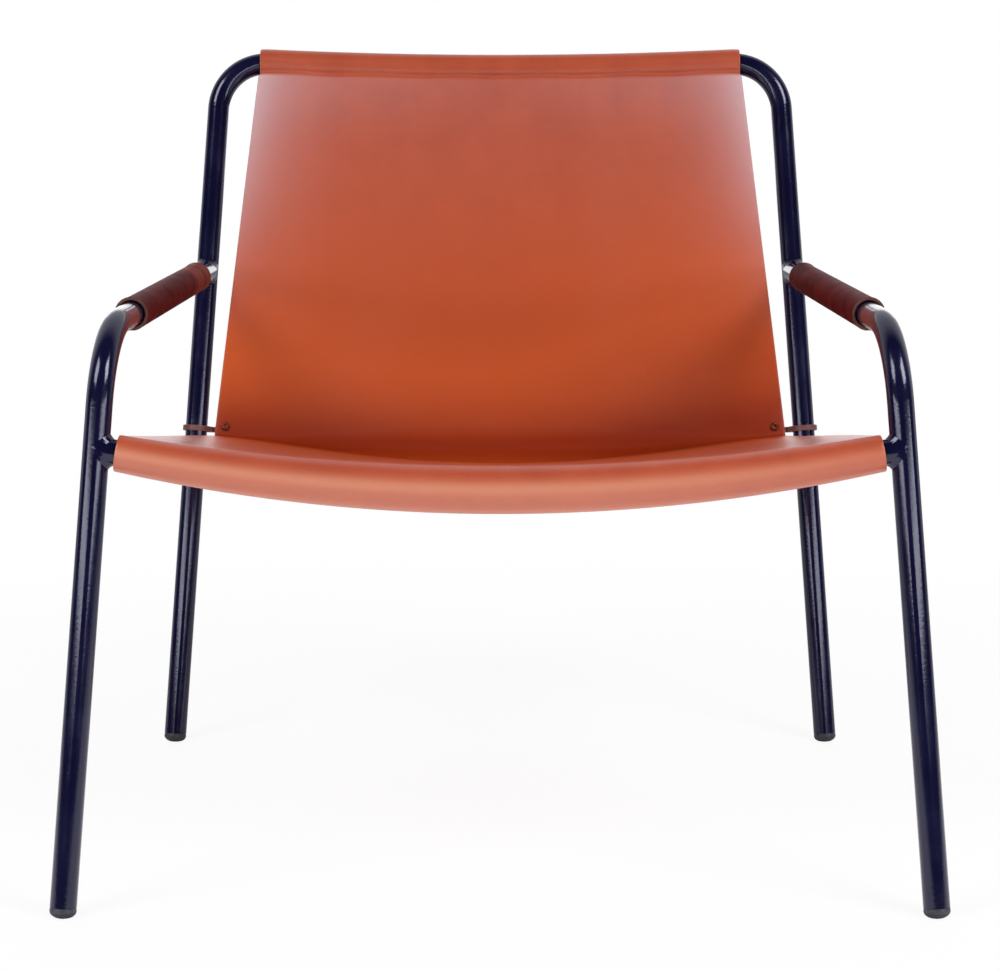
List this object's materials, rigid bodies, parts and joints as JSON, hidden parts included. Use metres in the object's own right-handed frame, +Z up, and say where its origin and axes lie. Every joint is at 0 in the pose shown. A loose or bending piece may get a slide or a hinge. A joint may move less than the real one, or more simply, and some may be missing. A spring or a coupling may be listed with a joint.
{
  "type": "leather sling lounge chair",
  "caption": "Low lounge chair with a welded frame of bent black steel tube, a thick tan leather sling for seat and back, and leather sleeves on the arms.",
  "frame": {"origin": "on the floor under the middle of the chair's box", "axes": "+Z up from the floor, -Y towards the front of the chair, +X to the right as seen from the front"},
  "size_m": [0.7332, 0.7272, 0.6937],
  "materials": {
    "frame_steel": "glossy black powder coat",
    "foot_glide": "moulded, satin",
    "sling_leather": "smooth saddle leather with a soft sheen",
    "sleeve_leather": "dark leather, worn satin",
    "rivet_copper": "darkened copper"
  },
  "bodies": {
    "root": {"back_frame": "frame_steel", "side_frame_right": "frame_steel", "side_frame_left": "frame_steel", "front_rail": "frame_steel", "weld_arm_right": "frame_steel", "weld_arm_left": "frame_steel", "weld_front_rail_right": "frame_steel", "weld_front_rail_left": "frame_steel", "foot_glide_front_right": "foot_glide", "foot_glide_front_left": "foot_glide", "foot_glide_rear_right": "foot_glide", "foot_glide_rear_left": "foot_glide", "sling": "sling_leather", "tie_strap_right": "sling_leather", "tie_strap_left": "sling_leather", "tie_rivet_right": "rivet_copper", "tie_rivet_left": "rivet_copper", "tie_burr_right": "rivet_copper", "tie_burr_left": "rivet_copper", "arm_sleeve_right": "sleeve_leather", "arm_sleeve_left": "sleeve_leather"}
  },
  "joints": []
}
